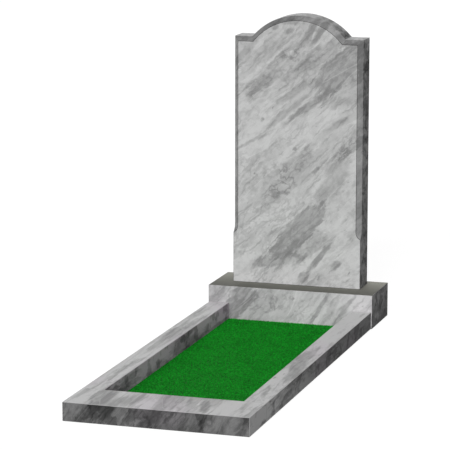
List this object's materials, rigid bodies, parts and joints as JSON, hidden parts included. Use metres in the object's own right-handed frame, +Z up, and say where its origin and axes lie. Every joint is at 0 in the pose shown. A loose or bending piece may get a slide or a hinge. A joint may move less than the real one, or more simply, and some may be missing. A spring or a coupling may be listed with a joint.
{
  "type": "upright headstone",
  "caption": "Upright grey marble headstone with an arched top, standing on a plinth behind a kerbed bed of turf.",
  "frame": {"origin": "centre of the whole footprint, at ground level", "axes": "+X to the right seen from the front, +Y from the foot of the bed towards the headstone, +Z up; the headstone faces -Y"},
  "size_m": [0.5, 1.39, 0.9],
  "materials": {
    "headstone_marble": "polished grey marble with diagonal veins",
    "plinth_marble": "polished grey marble with diagonal veins",
    "kerb_marble": "polished grey marble with diagonal veins",
    "turf": "short green pile"
  },
  "bodies": {
    "root": {"headstone": "headstone_marble", "plinth": "plinth_marble", "kerb_front": "kerb_marble", "kerb_left": "kerb_marble", "kerb_right": "kerb_marble", "turf": "turf"}
  },
  "joints": []
}
